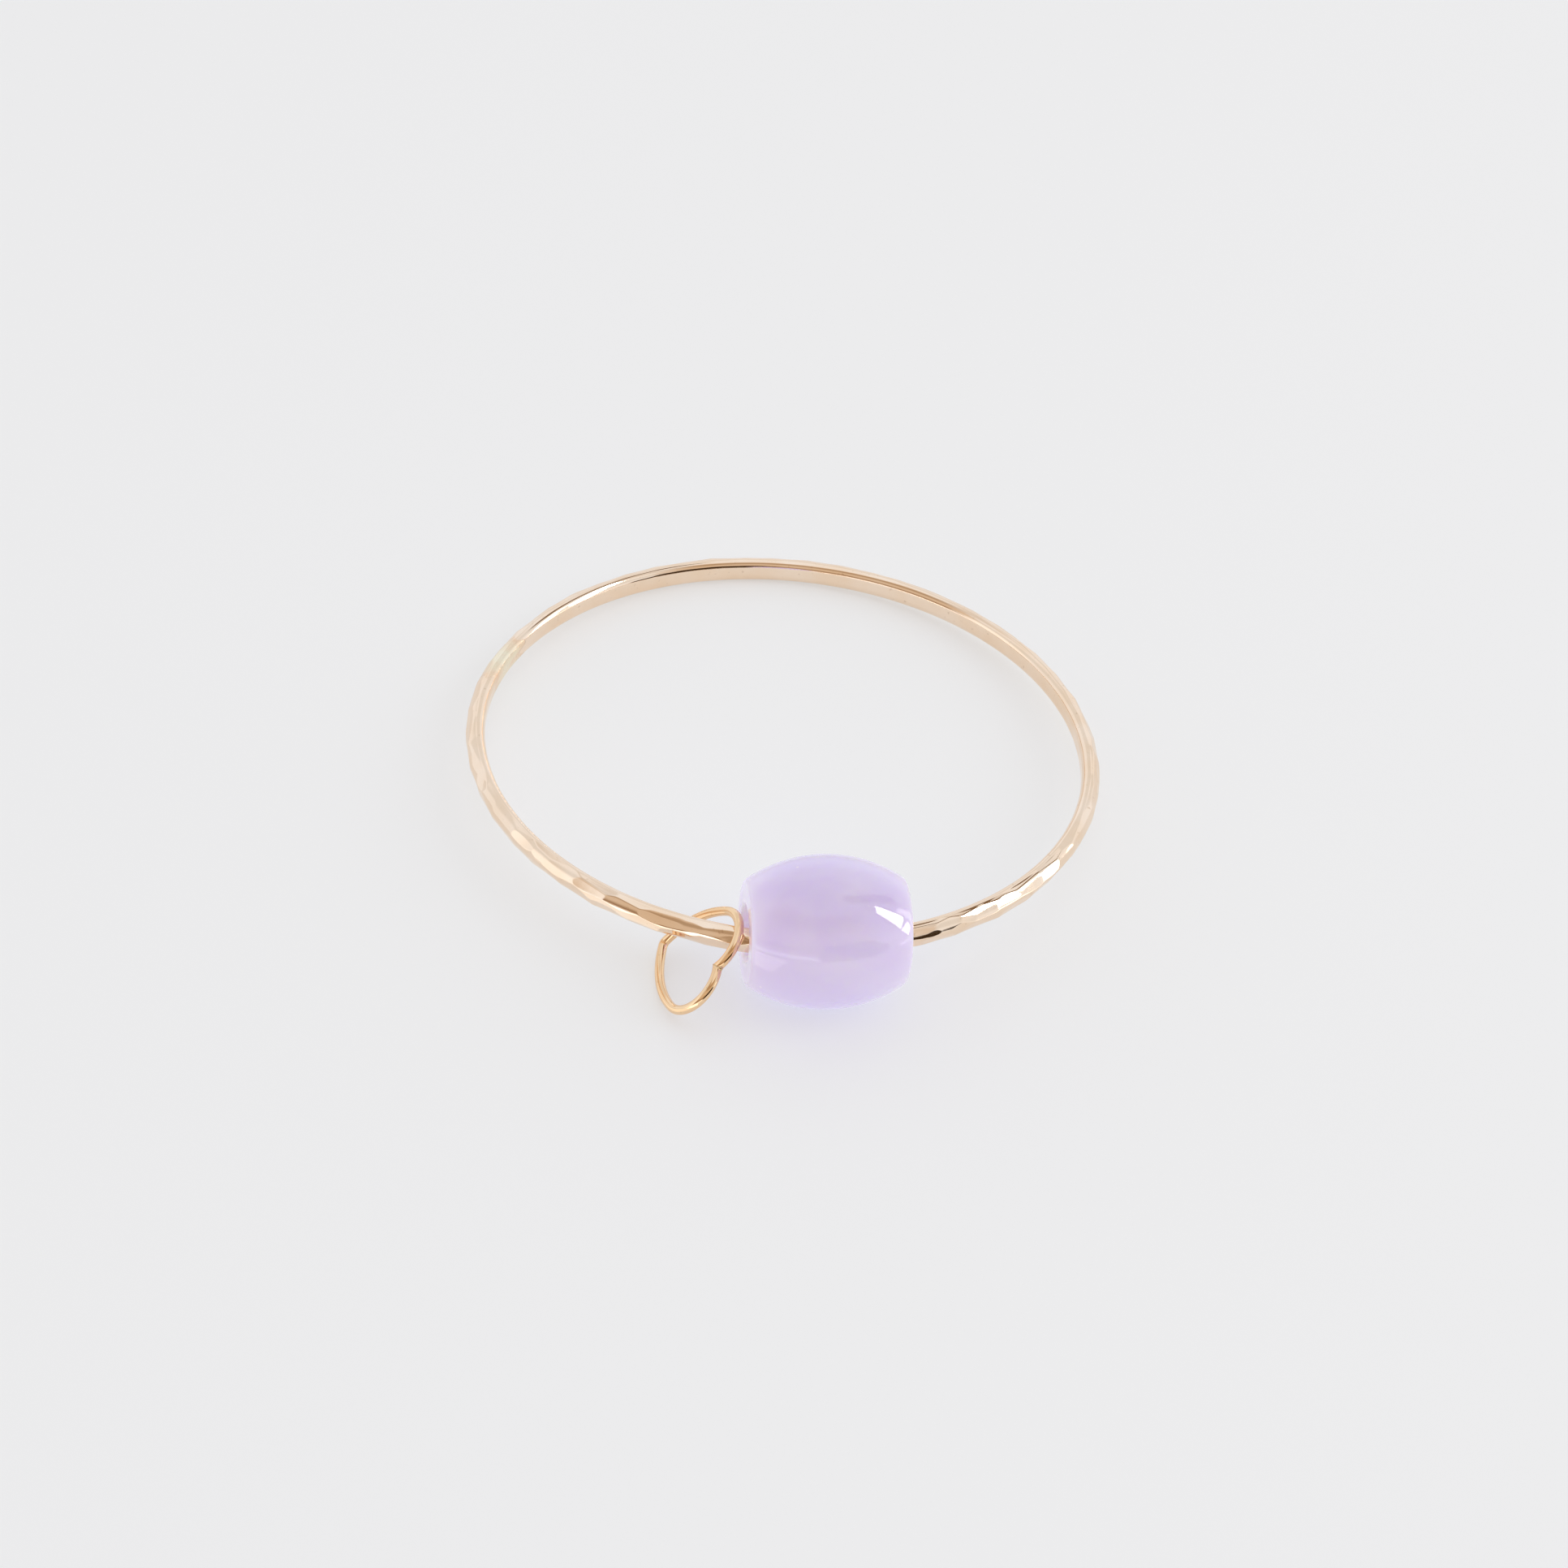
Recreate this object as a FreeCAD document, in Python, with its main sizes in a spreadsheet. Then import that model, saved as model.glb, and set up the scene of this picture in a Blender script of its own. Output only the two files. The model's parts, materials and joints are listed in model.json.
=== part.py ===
import FreeCAD, Part
import math
import os
import Sketcher

# Bangle bracelet: a hammered gold-filled ring with a barrel bead and an open wire heart threaded on it.
# Units are mm. +Z is up and the surface that the bangle lies on is Z = 0.
# The origin is on that surface, under the middle of the whole object. The bead is at the front, at -Y.
# The bead holds the front of the ring up, so the ring leans back and its far side touches the surface.

# ---------------------------------------------------------------- driving dimensions
SIZES = {
    "bangle_bore": 63.5,        # inner diameter of the ring, a 2.5 inch bangle
    "wire_thick": 2.0,          # radial thickness of the ring's wire
    "wire_tall": 2.8,           # height of the ring's wire
    "bead_long": 16.2,
    "bead_wide": 15.6,          # largest diameter, at the middle of the barrel
    "bead_end_wide": 10.6,      # diameter at the ends, before the rims are rounded
    "bead_bore": 5.8,
    "bead_rim_round": 0.5,
    "bore_rim_round": 0.3,
    "heart_wire_wide": 1.0,
    "heart_lobe_round": 3.5,    # radius of the two lobes, along the middle of the wire
    "heart_lobe_out": 2.12,     # from the heart's centre line to each lobe's centre
    "heart_point_drop": 7.62,   # from the line through the lobes' centres down to the point
    "heart_side_round": 9.95,   # radius of the two long sides
    "heart_point_round": 0.7,   # radius of the bend at the point
    "patch_long": 5.6,          # solder flooded over the ring's butt joint, along the ring
    "butt_gap": 0.2,            # solder between the two ends of the ring's wire
    "mitre_gap": 0.14,          # solder between the two ends of the heart's wire
}
# Hammer blows on the outside of the wire, in rounds about the ring: how many, where the first one is,
# how far its flat faces up or down, and how far the flat is from the middle of the wire.
BLOWS = [
    ("upper_long", 31, 0.0, 36.0, 0.95),
    ("upper_short", 23, 4.0, 42.0, 0.98),
    ("lower_long", 29, 2.0, -36.0, 0.95),
    ("lower_short", 19, 7.0, -30.0, 0.98),
]

# ---------------------------------------------------------------- derived dimensions
wire_half_thick = SIZES["wire_thick"] / 2
wire_half_tall = SIZES["wire_tall"] / 2
ring_radius = SIZES["bangle_bore"] / 2 + wire_half_thick
bead_radius = SIZES["bead_wide"] / 2
heart_wire_radius = SIZES["heart_wire_wide"] / 2

# How the pieces lie at rest. The ring hangs low and forward in the bead's bore.
wire_below_bore_axis = 0.95
wire_ahead_of_bore_axis = 1.0
wire_front_height = bead_radius - wire_below_bore_axis
lean = math.asin((wire_front_height - wire_half_tall) / (2 * ring_radius))
ring_height = wire_half_tall + ring_radius * math.sin(lean)
bead_from_ring_middle = ring_radius * math.cos(lean) - wire_ahead_of_bore_axis
bead_sideways = 0.05
back_reach = (ring_radius + wire_half_thick) * math.cos(lean)
front_reach = bead_from_ring_middle + bead_radius
ring_middle_y = (front_reach - back_reach) / 2
patch_bearing = 151.0           # the ring's joint is at the back left, turned from +X about the ring

V = FreeCAD.Vector
Turn = FreeCAD.Rotation
Place = FreeCAD.Placement
ring_place = Place(V(0, ring_middle_y, ring_height), Turn(V(1, 0, 0), -math.degrees(lean)))
bead_place = Place(V(bead_sideways, ring_middle_y - bead_from_ring_middle, bead_radius), Turn())
# The heart leans against the bead with its lower lobe on the surface and its upper lobe over the wire.
heart_yaw, heart_pitch, heart_roll = -130.52, 36.08, 35.03
heart_left, heart_ahead_of_ring_middle, heart_height = 12.10, 32.52, 4.88
heart_place = Place(
    V(-heart_left, ring_middle_y - heart_ahead_of_ring_middle, heart_height),
    Turn(heart_yaw, heart_pitch, heart_roll))

doc = FreeCAD.newDocument("bangle")


def make_sheet():
    sheet = doc.addObject("Spreadsheet::Sheet", "sizes")
    for row, (name, value) in enumerate(SIZES.items(), start=1):
        sheet.set("A%d" % row, name)
        sheet.set("B%d" % row, str(value))
        sheet.setAlias("B%d" % row, name)
    doc.recompute()


def origin_item(body, role):
    return next(o for o in body.Origin.OriginFeatures if o.Role == role)


def new_body(name):
    body = doc.addObject("PartDesign::Body", name)
    body.Label = name
    return body


def new_sketch(body, name, plane_role):
    sketch = body.newObject("Sketcher::SketchObject", name)
    sketch.AttachmentSupport = [(origin_item(body, plane_role), "")]
    sketch.MapMode = "FlatFace"
    return sketch


def bind(sketch, size_name, formula, kind, *refs):
    """Adds a size constraint to the sketch and ties it to the sheet."""
    value = formula_value(formula)
    row = sketch.addConstraint(Sketcher.Constraint(kind, *refs, value))
    sketch.renameConstraint(row, size_name)
    sketch.setExpression("Constraints." + size_name, formula)


def formula_value(formula):
    """The number that a sheet formula stands for."""
    value = 0.0
    for term in formula.replace("- ", "+ -").split("+ "):
        sign = -1.0 if term.strip().startswith("-") else 1.0
        name, _, divisor = term.strip().lstrip("-").partition("/")
        value += sign * SIZES[name.strip().replace("sizes.", "")] / float(divisor or 1)
    return value


def join(sketch, kind, *pairs):
    """Joins ends of the sketch's lines and arcs: (piece, end, piece, end)."""
    for first, first_end, second, second_end in pairs:
        sketch.addConstraint(Sketcher.Constraint(kind, first, first_end, second, second_end))


def arc(middle, radius, start, end):
    return Part.ArcOfCircle(Part.Circle(middle, V(0, 0, 1), radius), start, end)


def revolve(body, sketch, name, axis_role, degrees=360.0):
    turn = body.newObject("PartDesign::Revolution", name)
    turn.Profile = sketch
    turn.ReferenceAxis = (origin_item(body, axis_role), [""])
    turn.Angle = degrees
    turn.Midplane = degrees < 360.0
    doc.recompute()
    return turn


START, END, MIDDLE = 1, 2, 3
ORIGIN = -1


# ---------------------------------------------------------------- ring
def wire_section(body):
    """The ring's wire cut across: an upright oval of two half circles and two straight sides."""
    sketch = new_sketch(body, "wire_section", "XZ_Plane")
    straight = wire_half_tall - wire_half_thick
    inside = ring_radius - wire_half_thick
    outside = ring_radius + wire_half_thick
    sketch.addGeometry([
        arc(V(ring_radius, straight, 0), wire_half_thick, 0, math.pi),
        Part.LineSegment(V(inside, straight, 0), V(inside, -straight, 0)),
        arc(V(ring_radius, -straight, 0), wire_half_thick, math.pi, 2 * math.pi),
        Part.LineSegment(V(outside, -straight, 0), V(outside, straight, 0)),
    ], False)
    join(sketch, "Tangent", (0, END, 1, START), (1, END, 2, START), (2, END, 3, START), (3, END, 0, START))
    sketch.addConstraint(Sketcher.Constraint("Vertical", 1))
    bind(sketch, "side", "sizes.wire_thick / 2", "Radius", 0)
    bind(sketch, "round_middle", "sizes.bangle_bore / 2 + sizes.wire_thick / 2", "DistanceX", ORIGIN, 1, 0, MIDDLE)
    bind(sketch, "above", "sizes.wire_tall / 2 - sizes.wire_thick / 2", "DistanceY", ORIGIN, 1, 0, MIDDLE)
    bind(sketch, "below", "sizes.wire_tall / 2 - sizes.wire_thick / 2", "DistanceY", 2, MIDDLE, ORIGIN, 1)
    return sketch


def hammered_round(body, name, count, first_deg, slant_deg, from_wire_middle):
    """One round of flat hammer marks: a slab just outside the wire, repeated about the ring's axis."""
    slab_deep, slab_long, slab_tall = 2.0, 14.0, 8.0
    slab = body.newObject("PartDesign::SubtractiveBox", name + "_mark")
    slab.Length = slab_deep
    slab.Width = slab_long
    slab.Height = slab_tall
    slab.AttachmentSupport = [(origin_item(body, "XY_Plane"), "")]
    slab.MapMode = "FlatFace"
    around = Turn(V(0, 0, 1), first_deg)
    both = around.multiply(Turn(V(0, 1, 0), -slant_deg))
    corner = V(from_wire_middle, -slab_long / 2, -slab_tall / 2)
    slab.AttachmentOffset = Place(around.multVec(V(ring_radius, 0, 0)) + both.multVec(corner), both)
    doc.recompute()
    marks = body.newObject("PartDesign::PolarPattern", name + "_round")
    marks.Originals = [slab]
    marks.Axis = (origin_item(body, "Z_Axis"), [""])
    marks.Angle = 360
    marks.Occurrences = count
    body.Tip = marks
    doc.recompute()


def hammered_wire():
    """The whole round of wire, hammered on its outside, before its joint is parted from it."""
    body = new_body("hammered_wire")
    revolve(body, wire_section(body), "bent_wire", "Z_Axis")
    for blow in BLOWS:
        hammered_round(body, *blow)
    body.Placement = ring_place
    return body


def joint_space():
    """Where the solder is: a sleeve over the joint, reaching into the wire, and the gap between the ends."""
    core_half_thick = 0.78
    core_half_tall = 1.12
    sleeve_half = 2.0
    body = new_body("joint_space")
    sketch = new_sketch(body, "sleeve_section", "XZ_Plane")
    middle = V(ring_radius, 0, 0)
    core = Part.Ellipse(middle + V(0, core_half_tall, 0), middle + V(core_half_thick, 0, 0), middle)
    sketch.addGeometry([Part.Circle(middle, V(0, 0, 1), sleeve_half), core], False)
    doc.recompute()
    sleeve_degrees = math.degrees(SIZES["patch_long"] / ring_radius)
    revolve(body, sketch, "sleeve", "Z_Axis", sleeve_degrees)
    disc = body.newObject("PartDesign::AdditiveBox", "butt_disc")
    disc_half_thick, disc_half_tall = 0.9, 1.25
    disc.setExpression("Width", "sizes.butt_gap")
    disc.Length = 2 * disc_half_thick
    disc.Height = 2 * disc_half_tall
    disc.AttachmentSupport = [(origin_item(body, "XY_Plane"), "")]
    disc.MapMode = "FlatFace"
    disc.AttachmentOffset = Place(V(ring_radius - disc_half_thick, -SIZES["butt_gap"] / 2, -disc_half_tall), Turn())
    doc.recompute()
    body.Placement = ring_place.multiply(Place(V(), Turn(V(0, 0, 1), patch_bearing)))
    return body


def boolean(kind, name, base, tool):
    made = doc.addObject("Part::" + kind, name)
    made.Label = name
    if kind in ("Fuse", "Cut", "Common"):
        made.Base = base
        made.Tool = tool
    doc.recompute()
    return made


# ---------------------------------------------------------------- bead
def barrel_bead():
    """A barrel turned about its bore: flat ends, one bulging arc, and rounded rims outside and in the bore."""
    body = new_body("barrel_bead")
    sketch = new_sketch(body, "half_section", "XY_Plane")
    half_long = SIZES["bead_long"] / 2
    end_radius = SIZES["bead_end_wide"] / 2
    bore_radius = SIZES["bead_bore"] / 2
    bulge = bead_radius - end_radius
    bulge_radius = (half_long ** 2 + bulge ** 2) / (2 * bulge)
    half_span = math.asin(half_long / bulge_radius)
    sketch.addGeometry([
        Part.LineSegment(V(-half_long, bore_radius, 0), V(-half_long, end_radius, 0)),
        arc(V(0, bead_radius - bulge_radius, 0), bulge_radius, math.pi / 2 - half_span, math.pi / 2 + half_span),
        Part.LineSegment(V(half_long, end_radius, 0), V(half_long, bore_radius, 0)),
        Part.LineSegment(V(half_long, bore_radius, 0), V(-half_long, bore_radius, 0)),
    ], False)
    join(sketch, "Coincident", (0, END, 1, END), (1, START, 2, START), (2, END, 3, START), (3, END, 0, START))
    for line, way in ((0, "Vertical"), (2, "Vertical"), (3, "Horizontal")):
        sketch.addConstraint(Sketcher.Constraint(way, line))
    bind(sketch, "right_end", "sizes.bead_long / 2", "DistanceX", ORIGIN, 1, 2, START)
    bind(sketch, "left_end", "sizes.bead_long / 2", "DistanceX", 0, START, ORIGIN, 1)
    bind(sketch, "bore", "sizes.bead_bore / 2", "DistanceY", ORIGIN, 1, 0, START)
    bind(sketch, "right_rim", "sizes.bead_end_wide / 2", "DistanceY", ORIGIN, 1, 2, START)
    bind(sketch, "left_rim", "sizes.bead_end_wide / 2", "DistanceY", ORIGIN, 1, 0, END)
    sketch.addConstraint(Sketcher.Constraint("Radius", 1, bulge_radius))
    doc.recompute()
    revolve(body, sketch, "barrel", "X_Axis")
    round_rims(body, end_radius, "bead_rim_round")
    round_rims(body, bore_radius, "bore_rim_round")
    body.Placement = bead_place
    return body


def round_rims(body, rim_radius, size_name):
    """Rounds the two circular edges that have this radius."""
    solid = body.Tip
    rims = ["Edge%d" % (i + 1) for i, edge in enumerate(solid.Shape.Edges)
            if isinstance(edge.Curve, Part.Circle) and abs(edge.Curve.Radius - rim_radius) < 1e-3]
    rounding = body.newObject("PartDesign::Fillet", size_name + "ing")
    rounding.Base = (solid, rims)
    rounding.setExpression("Radius", "sizes." + size_name)
    body.Tip = rounding
    doc.recompute()


# ---------------------------------------------------------------- heart
def heart_arcs():
    """The three arcs of one half, tangent in turn: name of its radius, centre, start and end, in radians."""
    lobe_round = SIZES["heart_lobe_round"]
    lobe_out = SIZES["heart_lobe_out"]
    side_round = SIZES["heart_side_round"]
    point_round = SIZES["heart_point_round"]
    lobe_middle = V(lobe_out, 0, 0)
    point_middle = V(0, point_round - SIZES["heart_point_drop"], 0)
    to_lobe = side_round - lobe_round
    to_point = side_round - point_round
    between = lobe_middle - point_middle
    along = (to_point ** 2 - to_lobe ** 2 + between.Length ** 2) / (2 * between.Length)
    across = math.sqrt(to_point ** 2 - along ** 2)
    step = V(between).normalize()
    side_middle = point_middle + step * along + V(-step.y, step.x, 0) * across
    lobe_turn = math.atan2(-side_middle.y, lobe_out - side_middle.x)
    point_turn = math.atan2(point_middle.y - side_middle.y, -side_middle.x)
    past_cleft = 0.35           # radians that the lobe's wire runs on, to be mitred
    cleft_turn = math.pi - math.acos(lobe_out / lobe_round)
    return [
        ("heart_point_round", point_middle, -math.pi / 2, point_turn),
        ("heart_side_round", side_middle, point_turn, lobe_turn),
        ("heart_lobe_round", lobe_middle, lobe_turn, cleft_turn + past_cleft),
    ]


def heart_half():
    """The right half of the heart's wire, mitred at the cleft and cut square at the point."""
    bends = []
    for size_name, middle, start, end in heart_arcs():
        bend = doc.addObject("Part::Torus", size_name + "_bend")
        bend.setExpression("Radius1", "sizes." + size_name)
        bend.setExpression("Radius2", "sizes.heart_wire_wide / 2")
        bend.Angle3 = math.degrees(end - start)
        bend.Placement = Place(middle, Turn(V(0, 0, 1), math.degrees(start)))
        bends.append(bend)
    run = doc.addObject("Part::MultiFuse", "bent_half")
    run.Shapes = bends
    doc.recompute()
    beyond = doc.addObject("Part::Box", "beyond_centre_line")
    beyond_size = 20.0
    beyond.Length = beyond_size
    beyond.Width = beyond_size
    beyond.Height = beyond_size
    beyond.Placement = Place(V(-beyond_size, -beyond_size / 2, -beyond_size / 2), Turn())
    return boolean("Cut", "heart_half", run, beyond)


def whole_heart():
    """Both halves as one closed loop of wire, before its joint is parted from it."""
    right = heart_half()
    left = doc.addObject("Part::Mirroring", "heart_other_half")
    left.Source = right
    left.Normal = V(1, 0, 0)
    doc.recompute()
    return boolean("Fuse", "heart_loop", right, left)


def heart_joint_space():
    """The thin gap between the mitred ends, and the small fillet of solder in the notch above them."""
    fillet_radius = 0.3
    cleft_height = math.sqrt(SIZES["heart_lobe_round"] ** 2 - SIZES["heart_lobe_out"] ** 2)
    gap = doc.addObject("Part::Box", "mitre_gap")
    gap_tall, gap_deep = 2.4, 1.4
    gap.setExpression("Length", "sizes.mitre_gap")
    gap.Width = gap_tall
    gap.Height = gap_deep
    gap.Placement = Place(V(-SIZES["mitre_gap"] / 2, cleft_height - gap_tall / 2, -gap_deep / 2), Turn())
    fillet = doc.addObject("Part::Sphere", "notch_fillet")
    fillet.Radius = fillet_radius
    fillet.Placement = Place(V(0, cleft_height + heart_wire_radius, 0), Turn())
    doc.recompute()
    return gap, fillet


def place(piece, where):
    piece.Placement = where
    doc.recompute()
    return piece


# ---------------------------------------------------------------- assembly
make_sheet()
round_wire = hammered_wire()
solder_space = joint_space()
ring = boolean("Cut", "bangle_ring", round_wire, solder_space)
ring_seam = boolean("Common", "ring_solder_seam", round_wire, solder_space)
bead = barrel_bead()
loop = whole_heart()
mitre_gap, notch_fillet = heart_joint_space()
heart_space = boolean("Fuse", "heart_joint_space", mitre_gap, notch_fillet)
heart = place(boolean("Cut", "heart_wire", loop, heart_space), heart_place)
solder_in_gap = boolean("Common", "solder_in_gap", loop, mitre_gap)
heart_joint = place(boolean("Fuse", "heart_solder_joint", solder_in_gap, notch_fillet), heart_place)

# ---------------------------------------------------------------- checks and export
doc.recompute()
for item in doc.Objects:
    if "Invalid" in item.State or "Error" in item.State:
        raise RuntimeError("%s did not build: %s" % (item.Label, item.State))

os.makedirs("parts", exist_ok=True)
for piece in (ring, ring_seam, bead, heart, heart_joint):
    shape = piece.Shape
    if shape.isNull() or not shape.isValid() or len(shape.Solids) != 1:
        raise RuntimeError("%s is not one sound solid" % piece.Label)
    shape.exportStep("parts/%s.step" % piece.Label)
    box = shape.optimalBoundingBox()
    print("%-20s volume %9.3f  x %7.2f %7.2f  y %7.2f %7.2f  z %6.2f %6.2f" % (
        piece.Label, shape.Volume, box.XMin, box.XMax, box.YMin, box.YMax, box.ZMin, box.ZMax))
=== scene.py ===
import json
import math
import random

import bmesh
import bpy
import numpy as np
from mathutils import Matrix, Vector


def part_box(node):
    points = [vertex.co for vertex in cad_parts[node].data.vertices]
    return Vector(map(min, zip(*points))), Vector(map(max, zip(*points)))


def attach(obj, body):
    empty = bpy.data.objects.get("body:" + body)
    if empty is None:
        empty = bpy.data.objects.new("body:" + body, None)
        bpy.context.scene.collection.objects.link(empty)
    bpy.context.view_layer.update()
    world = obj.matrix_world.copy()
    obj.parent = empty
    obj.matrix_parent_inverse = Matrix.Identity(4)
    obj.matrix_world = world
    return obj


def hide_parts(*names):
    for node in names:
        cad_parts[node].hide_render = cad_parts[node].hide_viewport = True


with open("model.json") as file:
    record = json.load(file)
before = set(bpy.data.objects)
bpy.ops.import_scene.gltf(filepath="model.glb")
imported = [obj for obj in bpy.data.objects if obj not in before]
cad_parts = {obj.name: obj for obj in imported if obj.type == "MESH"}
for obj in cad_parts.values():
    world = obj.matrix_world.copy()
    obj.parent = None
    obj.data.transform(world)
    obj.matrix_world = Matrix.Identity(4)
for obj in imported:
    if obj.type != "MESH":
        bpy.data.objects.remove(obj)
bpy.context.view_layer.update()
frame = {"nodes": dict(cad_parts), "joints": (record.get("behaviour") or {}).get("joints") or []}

# Bangle bracelet: hammered gold ring, lavender barrel bead and open wire heart.
# Shapes are worked out in millimetres and turned into metres as each mesh is made.
MM = 0.001


# ---------------------------------------------------------------- mesh helpers
def mesh_object(name, points_mm, faces, matrix=None, smooth=True):
    """A mesh piece from points in mm, placed by a matrix in metres."""
    mesh = bpy.data.meshes.new(name)
    points = np.asarray(points_mm, float) * MM
    if matrix is not None:
        turn = np.array(matrix.to_3x3())
        points = points @ turn.T + np.array(matrix.translation)
    mesh.from_pydata(points.tolist(), [], faces)
    mesh.update()
    piece = bpy.data.objects.new(name, mesh)
    bpy.context.scene.collection.objects.link(piece)
    if smooth:
        mesh.polygons.foreach_set("use_smooth", [True] * len(mesh.polygons))
    return piece


def grid_faces(rows, columns, wrap_rows, wrap_columns, start=0):
    """Quads over a grid of points numbered row by row."""
    faces = []
    for i in range(rows if wrap_rows else rows - 1):
        for j in range(columns if wrap_columns else columns - 1):
            i2, j2 = (i + 1) % rows, (j + 1) % columns
            faces.append((start + i * columns + j, start + i2 * columns + j,
                          start + i2 * columns + j2, start + i * columns + j2))
    return faces


def add_uv(piece, values):
    """One UV per corner, from an array with a value for each point."""
    layer = piece.data.uv_layers.new(name="along_and_around")
    corners = np.zeros(len(piece.data.loops), np.int32)
    piece.data.loops.foreach_get("vertex_index", corners)
    layer.data.foreach_set("uv", np.asarray(values, np.float32)[corners].ravel())


def add_number(piece, name, values):
    attribute = piece.data.attributes.new(name, "FLOAT", "POINT")
    attribute.data.foreach_set("value", np.asarray(values, np.float32))


# ---------------------------------------------------------------- where the ring lies
travel = next(j for j in frame["joints"] if j["name"] == "bead_travel")
ring_axis = Vector(travel["axis"]).normalized()
ring_middle = Vector(travel["pos_m"])
ring_side = Vector((1, 0, 0))
ring_back = ring_axis.cross(ring_side)
ring_matrix = Matrix((ring_side, ring_back, ring_axis)).transposed().to_4x4()
ring_matrix.translation = ring_middle

WIRE_HALF_THICK = 1.0
WIRE_HALF_TALL = 1.4
ring_low, ring_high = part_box("bangle_ring")
ring_radius = (ring_high.x - ring_low.x) / 2 / MM - WIRE_HALF_THICK


# ---------------------------------------------------------------- hammered ring
def oval_radius(facing):
    """Distance from the wire's middle to its oval outline, by the direction across the wire."""
    straight = WIRE_HALF_TALL - WIRE_HALF_THICK
    up, out = np.abs(np.sin(facing)), np.abs(np.cos(facing))
    flat = WIRE_HALF_THICK / np.maximum(out, 1e-6)
    on_round = straight * up + np.sqrt(WIRE_HALF_THICK ** 2 - (straight * out) ** 2)
    return np.where(up * WIRE_HALF_THICK < straight * out, flat, on_round)


# Broad marks go round the ring in rounds, one for each facing across the wire. Each row is how many marks,
# their facing and its spread in degrees, their distance from the wire's middle and its spread,
# their largest tilt in degrees, and the radius of their bulge across the wire.
HAMMER_ROUNDS = [
    (56, 28.0, 3.5, 0.955, 0.022, 1.6, 2.3),
    (51, -16.0, 4.0, 0.915, 0.022, 1.6, 2.4),
    (43, 61.0, 3.5, 1.150, 0.014, 1.2, 2.6),
    (41, -57.0, 4.0, 1.170, 0.014, 1.2, 2.4),
    (33, 84.0, 4.0, 1.330, 0.010, 1.2, 2.4),
]
BROAD_DISH = 70.0
SMALL_BLOWS = 150
# How soft the edges between marks are.
BROAD_EDGE, FINE_EDGE = 0.016, 0.004
# A mark is worked out this far round the ring from its middle, and only where the wire's surface meets it
# at a slope of at least SHALLOWEST. Elsewhere its distance is UNTOUCHED, which is well outside the wire.
MARK_REACH = math.radians(14.0)
SHALLOWEST = 0.25
UNTOUCHED = 9.0


def hammer_marks():
    """The broad marks: bearing, facing, tilt, distance, dish along the wire and roundness across it."""
    chance = random.Random(11)
    marks = []
    for count, facing, facing_spread, deep, deep_spread, tilt, across in HAMMER_ROUNDS:
        pitch = 360.0 / count
        start = chance.uniform(0, pitch)
        for k in range(count):
            marks.append((
                math.radians(start + pitch * (k + chance.uniform(-0.36, 0.36))),
                math.radians(facing + max(-1.8, min(1.8, chance.gauss(0, 1))) * facing_spread),
                math.radians(chance.uniform(-tilt, tilt)),
                deep + chance.uniform(-1.6, 1.6) * deep_spread,
                BROAD_DISH, -across,
            ))
    return marks


def small_blows(bearings, facings, radius):
    """Small glancing marks, each a little leaf-shaped dish set into the surface that the broad marks left."""
    chance = random.Random(29)
    marks = []
    for _ in range(SMALL_BLOWS):
        row = chance.randrange(len(bearings))
        facing = math.radians(chance.uniform(-45, 58))
        column = int(np.searchsorted(facings, facing))
        here = radius[row, column]
        step = facings[column + 1] - facings[column - 1]
        slope = (radius[row, column + 1] - radius[row, column - 1]) / step
        normal = facings[column] - math.atan2(slope, here) + math.radians(chance.uniform(-8.0, 8.0))
        out, up = here * math.cos(facings[column]), here * math.sin(facings[column])
        deep = out * math.cos(normal) + up * math.sin(normal) - chance.uniform(0.012, 0.042)
        tilt = math.radians(chance.uniform(-2.0, 2.0))
        along, across = chance.uniform(20.0, 70.0), chance.uniform(7.0, 14.0)
        marks.append((bearings[row], normal, tilt, deep, along, across))
    return marks


def struck(bearings, facings, marks, base, soft):
    """The lowest of a surface and the marks' faces, with softened edges between them.

    A face is dished along the wire. Across it, a positive roundness dishes the face, a negative one bulges it.
    """
    across = facings[None, :]
    total = np.exp(-base / soft)
    for bearing, facing, tilt, deep, dish, side_round in marks:
        apart = (bearings - bearing + math.pi) % (2 * math.pi) - math.pi
        near = np.nonzero(np.abs(apart) < MARK_REACH)[0]
        if not len(near):
            continue
        d = apart[near][:, None]
        out = math.cos(facing) * math.cos(tilt)
        up = math.sin(facing) * math.cos(tilt)
        along = math.sin(tilt)
        hollow = (ring_radius * np.sin(d)) ** 2 / (2 * dish)
        top = deep + hollow
        top = top - ring_radius * (np.cos(d) - 1) * out - ring_radius * np.sin(d) * along
        slope = np.cos(across) * (np.cos(d) * out + np.sin(d) * along) + np.sin(across) * up
        # The face bends with the square of the distance from its middle line.
        bend = np.sin(across - facing) ** 2 / (2 * side_round)
        under = slope ** 2 - 4 * bend * top
        reached = (slope > SHALLOWEST) & (under > 0)
        steep = np.maximum(slope, SHALLOWEST) + np.sqrt(np.maximum(under, 0))
        cut = np.where(reached, 2 * top / steep, UNTOUCHED)
        total[near] += np.exp(-cut / soft)
    return -soft * np.log(total)


RING_STEPS = 1800


def section_facings():
    """Directions across the wire, closer together over the hammered outside than over the smooth inside."""
    outside = np.radians(np.arange(-66.0, 96.0, 2.5))
    inside = np.radians(np.linspace(96.5, 294.0, 36, endpoint=False))
    return np.sort((np.concatenate([outside, inside]) + math.pi) % (2 * math.pi) - math.pi)


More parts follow.
